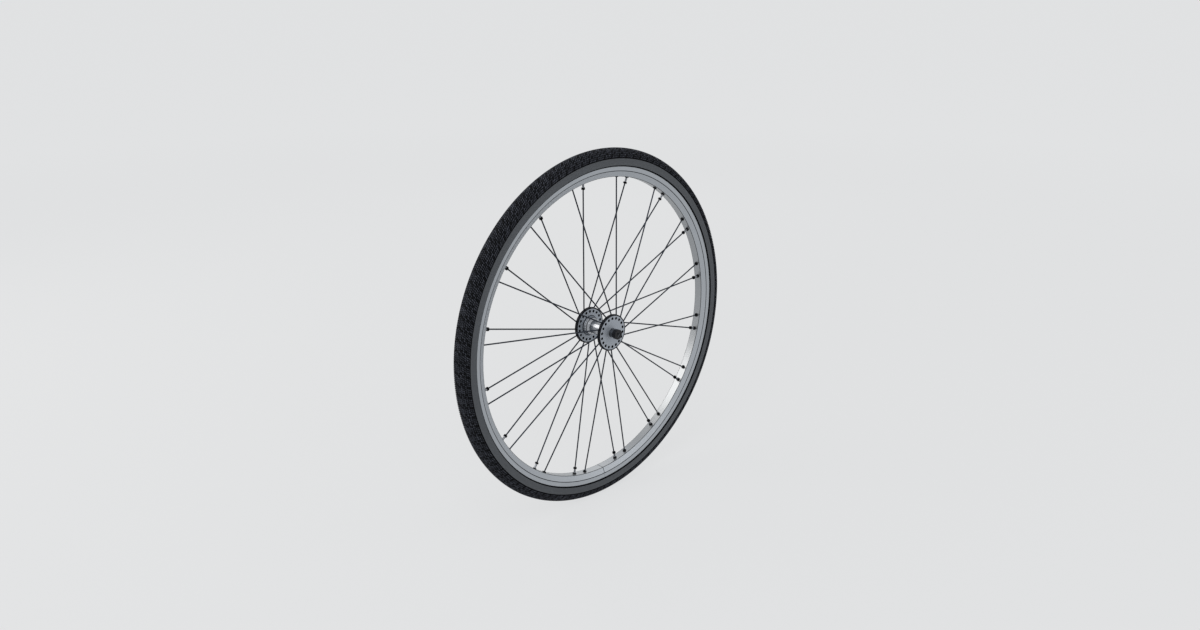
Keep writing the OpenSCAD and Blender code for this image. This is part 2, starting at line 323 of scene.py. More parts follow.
@dataclass(frozen=True)
class Finish:
    """A surface finish: its colour, gloss and grain, and the bands where its colour and gloss change."""

    name: str
    colour: Colour
    roughness: float
    metallic: float = 0.0
    grain: Grain = Grain.SPECKLED
    grain_size: float = 0.0005
    grain_depth: float = 0.00002
    tone_change: float = 0.1
    gloss_change: float = 0.1
    patch_size: float = 0.03
    specular: float = 0.5
    bands: tuple[Band, ...] = ()
    tone_attribute: str = ""

    def material(self) -> bpy.types.Material:
        """Builds the finish as a material, once.

        Returns:
            The material.
        """
        ready = bpy.data.materials.get(self.name)
        if ready is not None:
            return ready
        made = bpy.data.materials.new(self.name)
        made.use_nodes = True
        made.diffuse_color = (*self.colour, 1.0)
        made.node_tree.nodes.clear()
        write = NodeWriter(made.node_tree)
        place = Place(write)
        if self.grain is Grain.TURNED:
            grain = place.turned(self.grain_size)
        else:
            grain = place.speckled(self.grain_size)
        patches = place.speckled(self.patch_size, Place.FEW_LAYERS)
        colour, roughness = self._banded(write, place)
        colour = self._toned(write, colour, grain, patches)
        off = write.maths("SUBTRACT", patches, Place.MIDDLE)
        wander = write.maths("MULTIPLY", off, 2 * self.gloss_change)
        roughness = write.maths("ADD", roughness, wander, clamp=True)
        bump = write.made("ShaderNodeBump", {"Distance": self.grain_depth, "Height": grain})
        shader = write.made(
            "ShaderNodeBsdfPrincipled",
            {
                "Base Color": colour,
                "Roughness": roughness,
                "Metallic": self.metallic,
                "Specular IOR Level": self.specular,
                "Normal": bump.outputs["Normal"],
            },
        )
        write.made("ShaderNodeOutputMaterial", {"Surface": shader.outputs["BSDF"]})
        return made

    def _banded(self, write: NodeWriter, place: Place) -> tuple[object, object]:
        """Works out the colour and roughness after every band.

        Args:
            write: The material's node writer.
            place: The shaded point's place.

        Returns:
            The colour and the roughness, each a value or a socket.
        """
        colour: object = self.colour
        roughness: object = self.roughness
        for band in self.bands:
            mask = write.inside(place.radius, band.low_r, band.high_r, band.soft)
            if band.high_side < FAR:
                flank = write.inside(place.side, band.low_side, band.high_side, band.soft)
                mask = write.maths("MULTIPLY", mask, flank)
            if band.seam_half > 0.0:
                below = write.maths("LESS_THAN", place.up, 0.0)
                across = write.inside(place.across, -band.seam_half, band.seam_half, band.soft)
                mask = write.maths("MULTIPLY", mask, write.maths("MULTIPLY", below, across))
            colour = write.mixed(mask, colour, band.colour)
            gap = write.maths("SUBTRACT", band.roughness, roughness)
            roughness = write.maths("ADD", roughness, write.maths("MULTIPLY", gap, mask))
        return colour, roughness

    def _toned(self, write: NodeWriter, colour: object, grain: Socket, patches: Socket) -> Socket:
        """Lightens and darkens a colour by the grain, the patches and, where it has one, a tone attribute.

        Args:
            write: The material's node writer.
            colour: The colour to change.
            grain: The fine pattern.
            patches: The broad pattern.

        Returns:
            The changed colour's socket.
        """
        uneven = write.maths("SUBTRACT", write.maths("ADD", grain, patches), 2 * Place.MIDDLE)
        level = write.maths("MULTIPLY_ADD", uneven, self.tone_change, 1.0)
        if self.tone_attribute:
            tone = write.add("ShaderNodeAttribute", attribute_name=self.tone_attribute)
            level = write.maths("MULTIPLY", level, tone.outputs["Fac"])
        scaled = write.add("ShaderNodeVectorMath", operation="SCALE")
        write.feed(scaled.inputs[0], colour)
        write.feed(scaled.inputs["Scale"], level)
        return scaled.outputs[0]


class Finishes:
    """Every finish on the wheel."""

    # Nearly black: the rim's dark joint, and painted shade lines along edges, creases and steps.
    SEAM_AND_EDGE_SHADE: Colour = (0.006, 0.007, 0.009)
    # Black: the colour of the black parts, and also painted shade in holes and in corners between parts.
    BLACK: Colour = (0.003, 0.003, 0.004)
    # Painted shade along the hub flanges' outer edges.
    FLANGE_EDGE_SHADE: Colour = (0.012, 0.013, 0.016)
    TREAD = Finish(
        "tread_rubber",
        from_screen(47, 49, 55),
        0.8,
        grain_size=0.0008,
        grain_depth=0.00006,
        tone_change=0.4,
        patch_size=0.009,
        specular=0.14,
        tone_attribute=TONE,
    )
    # Painted shade: the tread's rubber painted far darker, for the shade in the grooves between the blocks
    # and under the tyre's lips.
    SHADED_RUBBER = Finish(
        "shaded_rubber",
        from_screen(7, 8, 11),
        0.9,
        grain_size=0.0008,
        grain_depth=0.00006,
        tone_change=0.3,
        patch_size=0.02,
        specular=0.06,
    )
    SIDEWALL = Finish(
        "sidewall_rubber",
        from_screen(76, 79, 83),
        0.75,
        grain=Grain.TURNED,
        grain_size=0.0007,
        grain_depth=0.00003,
        tone_change=0.12,
        patch_size=0.05,
        specular=0.3,
    )
    RIM = Finish(
        "rim_alloy",
        (0.42, 0.445, 0.475),
        0.42,
        metallic=1.0,
        grain=Grain.TURNED,
        grain_size=0.0012,
        grain_depth=0.0000015,
        tone_change=0.06,
        gloss_change=0.02,
        patch_size=0.08,
        bands=(
            # In order: the spoke bed; painted shade lines along the crease at the foot of the braking face
            # and along the bed's edge; and the rim's dark joint.
            Band((0.355, 0.37, 0.385), 0.36, low_r=0.2955, high_r=0.2975, high_side=0.0083),
            Band(SEAM_AND_EDGE_SHADE, 0.5, low_r=0.3069, high_r=0.3082, low_side=0.0125, high_side=0.02),
            Band(SEAM_AND_EDGE_SHADE, 0.5, low_r=0.2960, high_r=0.2971, low_side=0.0077, high_side=0.02),
            Band(SEAM_AND_EDGE_SHADE, 0.5, low_r=0.2950, high_r=0.3076, seam_half=0.0006),
        ),
    )
    SPOKE = Finish(
        "spoke_steel",
        (0.024, 0.029, 0.039),
        0.45,
        metallic=1.0,
        grain_size=0.0012,
        grain_depth=0.000004,
        tone_change=0.25,
        gloss_change=0.08,
    )
    NIPPLE = Finish(
        "nipple_plate",
        (0.19, 0.2, 0.218),
        0.3,
        metallic=1.0,
        grain_size=0.0006,
        grain_depth=0.000006,
        bands=(
            # In order: the long nipples' collars, and the stretch of every nipple next to the rim.
            Band(BLACK, 0.5, low_r=0.280, high_r=0.2868),
            Band(BLACK, 0.5, low_r=0.2944, high_r=0.31),
        ),
    )
    EYELET = Finish(
        "eyelet_black",
        BLACK,
        0.5,
        metallic=0.3,
        grain_size=0.0004,
        grain_depth=0.000006,
        specular=0.2,
    )
    HUB = Finish(
        "hub_alloy",
        (0.38, 0.41, 0.45),
        0.6,
        metallic=1.0,
        grain=Grain.TURNED,
        grain_size=0.0003,
        grain_depth=0.000006,
        tone_change=0.1,
        gloss_change=0.04,
        bands=(
            # In order: the barrel and housings; painted shade lines at their three steps; painted shade in
            # the flanges' holes; and painted shade along the flanges' edges.
            Band((0.38, 0.395, 0.42), 0.22, high_r=0.0197, high_side=0.0274),
            Band(SEAM_AND_EDGE_SHADE, 0.5, high_r=0.0197, low_side=0.0148, high_side=0.0159),
            Band(SEAM_AND_EDGE_SHADE, 0.5, high_r=0.0197, low_side=0.0195, high_side=0.0206),
            Band(SEAM_AND_EDGE_SHADE, 0.5, high_r=0.0203, low_side=0.0265, high_side=0.0277),
            Band(
                BLACK,
                0.8,
                low_r=0.0256,
                high_r=0.0315,
                low_side=0.02765,
                high_side=0.03355,
                soft=0.00005,
            ),
            Band(FLANGE_EDGE_SHADE, 0.6, low_r=0.0333, high_r=0.04, high_side=0.04),
        ),
    )
    SPACER = Finish(
        "spacer_steel",
        (0.11, 0.115, 0.125),
        0.2,
        metallic=1.0,
        grain=Grain.TURNED,
        grain_size=0.0003,
        grain_depth=0.000004,
        gloss_change=0.03,
        bands=(
            # Painted shade lines, in order: in the corner where it comes out of the hub, and in the corner
            # where it meets its end cap.
            Band(BLACK, 0.5, low_side=0.0330, high_side=0.0344),
            Band(BLACK, 0.5, low_side=0.0408, high_side=0.0426),
        ),
    )
    AXLE = Finish(
        "axle_alloy",
        (0.35, 0.37, 0.40),
        0.6,
        metallic=1.0,
        grain=Grain.TURNED,
        grain_size=0.0004,
        grain_depth=0.000006,
    )
    CAP = Finish(
        "cap_black",
        (0.006, 0.0065, 0.0085),
        0.24,
        metallic=0.3,
        grain=Grain.TURNED,
        grain_size=0.0004,
        grain_depth=0.000006,
        tone_change=0.2,
        gloss_change=0.05,
        specular=0.35,
    )
    BEARING = Finish(
        "bearing_steel",
        (0.5, 0.51, 0.53),
        0.15,
        metallic=1.0,
        grain=Grain.TURNED,
        grain_size=0.0003,
    )
    BALL = Finish(
        "ball_steel",
        (0.6, 0.61, 0.62),
        0.06,
        metallic=1.0,
        grain_size=0.002,
        grain_depth=0.000001,
    )
    CAGE = Finish("cage_nylon", (0.60, 0.53, 0.33), 0.5, grain_size=0.0006, grain_depth=0.00001)
    SEAL = Finish("seal_rubber", (0.018, 0.019, 0.021), 0.6, grain_depth=0.00001)
    SLEEVE = Finish("sleeve_alloy", (0.3, 0.31, 0.33), 0.5, metallic=1.0, grain_size=0.001)
    TAPE = Finish(
        "tape_cotton",
        (0.55, 0.42, 0.24),
        0.9,
        grain_size=0.0008,
        grain_depth=0.0002,
        tone_change=0.4,
    )
    FOAM = Finish(
        "insert_foam",
        (0.24, 0.25, 0.22),
        0.95,
        grain_size=0.0012,
        grain_depth=0.0004,
        tone_change=0.3,
    )


@dataclass(frozen=True)
class TreadRow:
    """One row of tread blocks and its mirror image, with its sizes in millimetres over the tread's surface.

    The skew is a block's slant, and the phase is the row's slide round the wheel, in block pitches. The block
    numbered first_dark and every few after it are darker, which marks the tread off in larger tiles.
    """

    offset: float
    width: float
    length: float
    skew: float
    phase: float
    first_dark: int


class PieceTree:
    """A Geometry Nodes tree with named inputs, and the step that turns its result into a plain mesh."""

    def __init__(self, name: str, inputs: dict[str, tuple[str, object]]) -> None:
        """Makes the tree with its geometry sockets and named inputs.

        Args:
            name: The tree's name.
            inputs: Input name to its kind, "Float", "Int" or "Material", and its usual value.
        """
        self.tree = bpy.data.node_groups.new(name, "GeometryNodeTree")
        face = self.tree.interface
        face.new_socket("Geometry", in_out="INPUT", socket_type="NodeSocketGeometry")
        face.new_socket("Geometry", in_out="OUTPUT", socket_type="NodeSocketGeometry")
        self.identifiers: dict[str, str] = {}
        for label, (kind, value) in inputs.items():
            socket = face.new_socket(label, in_out="INPUT", socket_type=f"NodeSocket{kind}")
            if value is not None:
                socket.default_value = value
            self.identifiers[label] = socket.identifier
        self.write = NodeWriter(self.tree)
        self.given = self.write.add("NodeGroupInput").outputs
        self.result = self.write.add("NodeGroupOutput").inputs[0]

    def finish(self, geometry: Socket) -> Socket:
        """Ends the tree with Realize Instances, and Set Material from the tree's Material input.

        Args:
            geometry: What the tree has made so far.

        Returns:
            The finished geometry's socket, which the tree's output now takes.
        """
        real = self.write.made("GeometryNodeRealizeInstances", {"Geometry": geometry})
        dressed = self.write.made(
            "GeometryNodeSetMaterial", {"Geometry": real.outputs[0], "Material": self.given["Material"]}
        )
        self.write.feed(self.result, dressed.outputs[0])
        return dressed.outputs[0]

    def run(self, name: str, start: bpy.types.Mesh, values: dict[str, object]) -> bpy.types.Object:
        """Runs the tree on a starting mesh and keeps the result as a plain object.

        Args:
            name: The new object's name.
            start: The mesh that the tree starts from.
            values: Input name to value.

        Returns:
            The object, with a plain mesh and no modifier.
        """
        piece = placed(name, start)
        modifier = piece.modifiers.new(self.tree.name, "NODES")
        modifier.node_group = self.tree
        for label, value in values.items():
            modifier[self.identifiers[label]] = value
        piece.update_tag()
        graph = bpy.context.evaluated_depsgraph_get()
        ready = piece.evaluated_get(graph)
        plain = bpy.data.meshes.new_from_object(ready, preserve_all_data_layers=True, depsgraph=graph)
        piece.modifiers.clear()
        piece.data = plain
        plain.name = name
        return piece


@dataclass
class Tyre:
    """The tyre: a hollow casing with flat sidewalls, and the tread's rows of blocks.

    Its sizes are in millimetres: an _r is a wheel radius or an arc's radius, and a _side is the distance from
    the wheel's middle plane.
    """

    tread_r: float = 349.5
    crown_r: float = 20.0
    shoulder_r: float = 14.0
    shoulder_side: float = 3.4
    edge_r: float = 331.3
    sidewall_side: float = 17.0
    sidewall_low_r: float = 318.2
    lip_r: float = 316.0
    lip_side: float = 14.7
    bead_low_r: float = 310.7
    bead_side: float = 12.3
    foot_side: float = 9.2
    wall_bevel: float = 0.15
    wall_start: float = 0.1
    hollow_r: float = 14.3
    hollow_mid_r: float = 330.6
    hollow_turn: float = 128.0
    hollow_steps: int = 24
    groove: float = 1.1
    groove_wall: float = 0.3
    groove_steps: int = 30
    plain_edge: float = 0.8
    crease: float = 25.0
    segments: int = 360
    blocks: int = 545
    block_root: float = 0.3
    block_taper: float = 0.18
    least_tone: float = 0.75
    tile: int = 5
    tile_darkening: float = 0.85
    seed: int = 7
    rows: tuple[TreadRow, ...] = (
        TreadRow(2.15, 3.3, 2.7, 0.55, 0.00, 0),
        TreadRow(6.15, 3.3, 2.6, 0.55, 0.35, 0),
        TreadRow(10.15, 3.3, 2.6, 0.65, 0.10, 3),
        TreadRow(14.05, 3.1, 2.5, 0.75, 0.55, 3),
        TreadRow(17.85, 3.1, 2.5, 0.85, 0.05, 1),
        TreadRow(21.65, 3.1, 2.4, 0.95, 0.60, 1),
        TreadRow(25.25, 2.9, 2.3, 0.95, 0.20, 1),
    )

    def blend(self) -> float:
        """Gives the angle at which the crown's arc runs into a shoulder's."""
        return math.asin(self.shoulder_side / (self.crown_r - self.shoulder_r))

    def shoulder_mid_r(self) -> float:
        """Gives the wheel radius of a shoulder arc's centre."""
        gap = self.crown_r - self.shoulder_r
        return self.tread_r - self.crown_r + math.sqrt(gap * gap - self.shoulder_side**2)

    def half_tread(self) -> float:
        """Gives the distance over the tread's surface from its middle to its edge."""
        turn = math.atan2(self.sidewall_side - self.shoulder_side, self.edge_r - self.shoulder_mid_r())
        return self.crown_r * self.blend() + self.shoulder_r * (turn - self.blend())

    def on_tread(self, across: float, depth: float) -> tuple[float, float]:
        """Finds a point on the tread's section.

        Args:
            across: Distance over the surface from the middle, signed.
            depth: Distance below the surface.

        Returns:
            The point's wheel radius and side.
        """
        reach = abs(across)
        split = self.crown_r * self.blend()
        if reach < split:
            turn, arc, mid_r, mid_s = reach / self.crown_r, self.crown_r, self.tread_r - self.crown_r, 0.0
        else:
            turn = self.blend() + (reach - split) / self.shoulder_r
            arc, mid_r, mid_s = self.shoulder_r, self.shoulder_mid_r(), self.shoulder_side
        side = mid_s + (arc - depth) * math.sin(turn)
        return mid_r + (arc - depth) * math.cos(turn), math.copysign(side, across)

    def section(self) -> tuple[list[tuple[float, float]], list[float]]:
        """Draws the casing's closed section, from the left bead over the tread to the right and back inside.

        Returns:
            The points as wheel radius and side, and for each 1 on a flat sidewall or 0 elsewhere.
        """
        left = [
            (self.bead_low_r, self.foot_side, 0.0),
            (self.bead_low_r, self.bead_side, 0.0),
            (self.lip_r, self.bead_side, 0.0),
            (self.lip_r, self.lip_side, 0.0),
            (self.sidewall_low_r - self.wall_bevel, self.sidewall_side - self.wall_bevel, 0.0),
            (self.sidewall_low_r + self.wall_start, self.sidewall_side, 1.0),
            ((self.sidewall_low_r + self.edge_r) / 2, self.sidewall_side, 1.0),
            (self.edge_r, self.sidewall_side, 1.0),
        ]
        edge_reach = self.half_tread() - self.plain_edge
        foot_reach = edge_reach - self.groove_wall
        edge = (*self.on_tread(edge_reach, 0.0), 0.0)
        floor = []
        for step in range(self.groove_steps + 1):
            across = foot_reach * (1 - 2 * step / self.groove_steps)
            floor.append((*self.on_tread(across, self.groove), 0.0))
        top = [edge, *floor, (edge[0], -edge[1], 0.0)]
        right = [(r, -s, flat) for r, s, flat in reversed(left)]
        hollow = []
        widest = math.radians(self.hollow_turn)
        for step in range(self.hollow_steps + 1):
            turn = -widest + 2 * widest * step / self.hollow_steps
            radius = self.hollow_mid_r + self.hollow_r * math.cos(turn)
            hollow.append((radius, self.hollow_r * math.sin(turn), 0.0))
        loop = list(reversed(left + top + right + hollow))
        return [(r, s) for r, s, _ in loop], [flat for _, _, flat in loop]

    def build_casing(self) -> bpy.types.Object:
        """Sweeps the section round the wheel.

        Returns:
            The casing.
        """
        points, flats = self.section()
        start = bpy.data.meshes.new("casing_section")
        count = len(points)
        start.from_pydata(
            [((r - self.tread_r) * MM, s * MM, 0.0) for r, s in points],
            [(n, (n + 1) % count) for n in range(count)],
            [],
        )
        start.attributes.new("flat", "FLOAT", "POINT").data.foreach_set("value", flats)
        plan = PieceTree(
            "swept_casing",
            {
                "Wheel radius": ("Float", 0.35),
                "Segments": ("Int", 360),
                "Sidewall": ("Material", None),
                "Material": ("Material", None),
            },
        )
        write, given = plan.write, plan.given
        outline = write.made("GeometryNodeMeshToCurve", {"Mesh": given["Geometry"]})
        path = write.made(
            "GeometryNodeCurvePrimitiveCircle",
            {"Resolution": given["Segments"], "Radius": given["Wheel radius"]},
        )
        swept = write.made(
            "GeometryNodeCurveToMesh", {"Curve": path.outputs[0], "Profile Curve": outline.outputs[0]}
        )
        upright = (math.radians(90), 0.0, 0.0)
        stood = write.made("GeometryNodeTransform", {"Geometry": swept.outputs[0], "Rotation": upright})
        dressed = plan.finish(stood.outputs[0])
        flat = write.made("GeometryNodeInputNamedAttribute", {"Name": "flat"}, data_type="FLOAT")
        on_face = write.made(
            "GeometryNodeFieldOnDomain", {"Value": flat.outputs[0]}, domain="FACE", data_type="FLOAT"
        )
        all_corners = 0.9
        is_flat = write.maths("GREATER_THAN", on_face.outputs[0], all_corners)
        two_tone = write.made(
            "GeometryNodeSetMaterial",
            {"Geometry": dressed, "Selection": is_flat, "Material": given["Sidewall"]},
        )
        write.feed(plan.result, two_tone.outputs[0])
        casing = plan.run(
            "tyre_casing",
            start,
            {
                "Wheel radius": self.tread_r * MM,
                "Segments": self.segments,
                "Sidewall": Finishes.SIDEWALL.material(),
                # The rest of the casing, groove floor and lips, takes the rubber painted darker for shade.
                "Material": Finishes.SHADED_RUBBER.material(),
            },
        )
        casing.data.shade_smooth()
        casing.data.set_sharp_from_angle(angle=math.radians(self.crease))
        return casing

    def tread_tree(self) -> PieceTree:
        """Writes the tree that lays one row of blocks flat, mirrors it and wraps both round the wheel.

        Returns:
            The tree.
        """
        plan = PieceTree(
            "wrapped_tread_row",
            {
                "Blocks": ("Int", 500),
                "Wheel radius": ("Float", 0.35),
                "Crown radius": ("Float", 0.02),
                "Shoulder radius": ("Float", 0.014),
                "Shoulder side": ("Float", 0.0034),
                "Shoulder middle": ("Float", 0.334),
                "Blend angle": ("Float", 0.6),
                "Row offset": ("Float", 0.0),
                "Block width": ("Float", 0.003),
                "Block length": ("Float", 0.003),
                "Block height": ("Float", 0.0014),
                "Skew": ("Float", 0.5),
                "Phase": ("Float", 0.0),
                "Tile": ("Int", 5),
                "First dark": ("Int", 0),
                "Seed": ("Int", 7),
                "Material": ("Material", None),
            },
        )
        write, given = plan.write, plan.given
        size = write.made(
            "ShaderNodeCombineXYZ",
            {"X": given["Block width"], "Y": given["Block length"], "Z": given["Block height"]},
        )
        block = write.made("GeometryNodeMeshCube", {"Size": size.outputs[0]})
        narrowed = self._narrow_tops(write, block.outputs["Mesh"], given["Block height"])
        round_it = write.maths("MULTIPLY", given["Wheel radius"], math.tau)
        pitch = write.maths("DIVIDE", round_it, given["Blocks"])
        first = write.made("ShaderNodeCombineXYZ", {"X": given["Row offset"]})
        stride = write.made("ShaderNodeCombineXYZ", {"Y": pitch})
        line = write.made(
            "GeometryNodeMeshLine",
            {"Count": given["Blocks"], "Start Location": first.outputs[0], "Offset": stride.outputs[0]},
        )
        marked = write.made(
            "GeometryNodeStoreNamedAttribute",
            {"Geometry": line.outputs[0], "Name": TONE},
            data_type="FLOAT",
            domain="POINT",
        )
        write.feed(write.typed(marked.inputs, "VALUE", "Value"), self._block_tone(write, given))
        laid = write.made("GeometryNodeInstanceOnPoints", {"Points": marked.outputs[0], "Instance": narrowed})
        solid = write.made("GeometryNodeRealizeInstances", {"Geometry": laid.outputs[0]})
        half_pitch = 0.5
        near = self._slid(write, solid.outputs[0], given, pitch, 0.0)
        far = self._slid(write, solid.outputs[0], given, pitch, half_pitch)
        turned = write.made("GeometryNodeTransform", {"Geometry": far, "Scale": (-1.0, 1.0, 1.0)})
        outward = write.made("GeometryNodeFlipFaces", {"Mesh": turned.outputs[0]})
        both = write.add("GeometryNodeJoinGeometry")
        write.feed(both.inputs[0], near)
        write.feed(both.inputs[0], outward.outputs[0])
        plan.finish(self._wrapped(write, both.outputs[0], given))
        return plan

    def _block_tone(self, write: NodeWriter, given: bpy.types.NodeOutputs) -> Socket:
        """Works out each block's tone: a random one, much darker where a tile of blocks begins.

        Args:
            write: The tree's node writer.
            given: The tree's inputs.

        Returns:
            The tone's socket.
        """
        chance = write.made("FunctionNodeRandomValue", {"Seed": given["Seed"]}, data_type="FLOAT")
        spread = write.maths("POWER", write.typed(chance.outputs, "VALUE"), 2.0)
        number = write.add("GeometryNodeInputIndex").outputs[0]
        step = write.maths("SUBTRACT", number, given["First dark"])
        is_dark = write.maths("LESS_THAN", write.maths("FLOORED_MODULO", step, given["Tile"]), 0.5)
        shade = write.maths("MULTIPLY_ADD", is_dark, -self.tile_darkening, 1.0)
        return write.maths("MULTIPLY", write.maths("ADD", spread, self.least_tone), shade)

    def _narrow_tops(self, write: NodeWriter, block: Socket, height: Socket) -> Socket:
        """Narrows a block's top and lowers the block until its top lies on the flat tread's surface.

        Args:
            write: The tree's node writer.
            block: The plain block.
            height: The block's height.

        Returns:
            The narrowed block's socket.
        """
        place = write.add("GeometryNodeInputPosition").outputs[0]
        split = write.made("ShaderNodeSeparateXYZ", {"Vector": place})
        half = self.block_taper / 2
        share = write.maths("MULTIPLY_ADD", write.maths("SIGN", split.outputs["Z"]), -half, 1 - half)
        drop = write.maths("MULTIPLY", height, -0.5)
        moved = write.made(
            "ShaderNodeCombineXYZ",
            {
                "X": write.maths("MULTIPLY", split.outputs["X"], share),
                "Y": write.maths("MULTIPLY", split.outputs["Y"], share),
                "Z": write.maths("ADD", split.outputs["Z"], drop),
            },
        )
        narrowed = write.made("GeometryNodeSetPosition", {"Geometry": block, "Position": moved.outputs[0]})
        return narrowed.outputs[0]

    @staticmethod
    def _slid(
        write: NodeWriter, row: Socket, given: bpy.types.NodeOutputs, pitch: Socket, step: float
    ) -> Socket:
        """Slants a flat row's blocks and slides the row along.

        Args:
            write: The tree's node writer.
            row: The flat row.
            given: The tree's inputs.
            pitch: Distance from block to block.
            step: Extra slide, in block pitches.

        Returns:
            The slid row's socket.
        """
        place = write.add("GeometryNodeInputPosition").outputs[0]
        split = write.made("ShaderNodeSeparateXYZ", {"Vector": place})
        slant = write.maths("MULTIPLY", split.outputs["X"], given["Skew"])
        slide = write.maths("MULTIPLY", write.maths("ADD", given["Phase"], step), pitch)
        shift = write.made("ShaderNodeCombineXYZ", {"Y": write.maths("ADD", slant, slide)})
        slid = write.made("GeometryNodeSetPosition", {"Geometry": row, "Offset": shift.outputs[0]})
        return slid.outputs[0]

    @staticmethod
    def _wrapped(write: NodeWriter, flat: Socket, given: bpy.types.NodeOutputs) -> Socket:
        """Bends flat tread over the crown and shoulders, and round the wheel.

        Args:
            write: The tree's node writer.
            flat: The flat tread: X across it, Y along it, Z up from its surface.
            given: The tree's inputs.

        Returns:
            The wrapped tread's socket.
        """
        place = write.add("GeometryNodeInputPosition").outputs[0]
        across, along, height = write.made("ShaderNodeSeparateXYZ", {"Vector": place}).outputs
        reach = write.maths("ABSOLUTE", across)
        split = write.maths("MULTIPLY", given["Crown radius"], given["Blend angle"])
        past = write.maths("GREATER_THAN", reach, split)

        def either(crown: object, shoulder: object) -> Socket:
            """Picks the crown's value up to the blend and the shoulder's past it."""
            gap = write.maths("SUBTRACT", shoulder, crown)
            return write.maths("MULTIPLY_ADD", gap, past, crown)

        on_crown = write.maths("DIVIDE", reach, given["Crown radius"])
        further = write.maths("DIVIDE", write.maths("SUBTRACT", reach, split), given["Shoulder radius"])
        turn = either(on_crown, write.maths("ADD", given["Blend angle"], further))
        arc = write.maths("ADD", either(given["Crown radius"], given["Shoulder radius"]), height)
        crown_middle = write.maths("SUBTRACT", given["Wheel radius"], given["Crown radius"])
        middle = either(crown_middle, given["Shoulder middle"])
        side = write.maths("MULTIPLY", given["Shoulder side"], past)
        radius = write.maths("ADD", middle, write.maths("MULTIPLY", arc, write.maths("COSINE", turn)))
        offset = write.maths("ADD", side, write.maths("MULTIPLY", arc, write.maths("SINE", turn)))
        angle = write.maths("DIVIDE", along, given["Wheel radius"])
        bent = write.made(
            "ShaderNodeCombineXYZ",
            {
                "X": write.maths("MULTIPLY", radius, write.maths("COSINE", angle)),
                "Y": write.maths("MULTIPLY", offset, write.maths("SIGN", across)),
                "Z": write.maths("MULTIPLY", radius, write.maths("SINE", angle)),
            },
        )
        wrapped = write.made("GeometryNodeSetPosition", {"Geometry": flat, "Position": bent.outputs[0]})
        return wrapped.outputs[0]

    def build_tread(self) -> bpy.types.Object:
        """Makes every row of blocks and joins them.

        Returns:
            The tread.
        """
        plan = self.tread_tree()
        rubber = Finishes.TREAD.material()
        rows = []
        for number, row in enumerate(self.rows):
            values = {
                "Blocks": self.blocks,
                "Wheel radius": self.tread_r * MM,
                "Crown radius": self.crown_r * MM,
                "Shoulder radius": self.shoulder_r * MM,
                "Shoulder side": self.shoulder_side * MM,
                "Shoulder middle": self.shoulder_mid_r() * MM,
                "Blend angle": self.blend(),
                "Row offset": row.offset * MM,
                "Block width": row.width * MM,
                "Block length": row.length * MM,
                "Block height": (self.groove + self.block_root) * MM,
                "Skew": row.skew,
                "Phase": row.phase,
                "Tile": self.tile,
                "First dark": row.first_dark,
                "Seed": self.seed + number,
                "Material": rubber,
            }
            rows.append(plan.run(f"tread_row_{number}", bpy.data.meshes.new("row_start"), values))
        whole = bmesh.new()
        for row in rows:
            whole.from_mesh(row.data)
            bpy.data.objects.remove(row)
        mesh = bpy.data.meshes.new("tyre_tread")
        whole.to_mesh(mesh)
        whole.free()
        mesh.materials.append(rubber)
        return placed("tyre_tread", mesh)

    def dress(self, casing: bpy.types.Object, tread: bpy.types.Object) -> None:
        """Puts the tyre on the turning wheel in place of its plain solid.

        Args:
            casing: The casing.
            tread: The tread.
        """
        for piece in (casing, tread):
            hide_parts("tyre")
            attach(piece, "wheel")
            LOG.info("%s: %d faces", piece.name, len(piece.data.polygons))


@dataclass
class Dressing:
    """The finish of each solid that keeps its own shape."""

    by_prefix: dict[str, Finish] = field(
        default_factory=lambda: {
            "rim_joint_sleeve": Finishes.SLEEVE,
            "rim_tape": Finishes.TAPE,
            "rim": Finishes.RIM,
            "tyre_insert": Finishes.FOAM,
            "eyelets": Finishes.EYELET,
            "nipples": Finishes.NIPPLE,
            "spoke": Finishes.SPOKE,
            "hub_shell": Finishes.HUB,
            "dust_cover": Finishes.HUB,
            "bearing_balls": Finishes.BALL,
            "bearing_cage": Finishes.CAGE,
            "bearing_seal": Finishes.SEAL,
            "bearing": Finishes.BEARING,
            "axle": Finishes.AXLE,
            "spacer": Finishes.SPACER,
            "end_cap": Finishes.CAP,
        }
    )

    def dress(self) -> None:
        """Gives every shown solid its finish, by the longest name that it starts with."""
        for name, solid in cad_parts.items():
            fits = [prefix for prefix in self.by_prefix if name.startswith(prefix)]
            if not fits:
                continue
            finish = self.by_prefix[max(fits, key=len)]
            solid.data.materials.clear()
            solid.data.materials.append(finish.material())
            LOG.info("%s: %s", name, finish.name)


@dataclass(frozen=True)
class Lamp:
    """A soft, round lamp that is turned to the wheel: its place and width in metres, its power in watts."""

    name: str
    place: tuple[float, float, float]
    width: float
    power: float
    colour: Colour = (1.0, 1.0, 1.0)


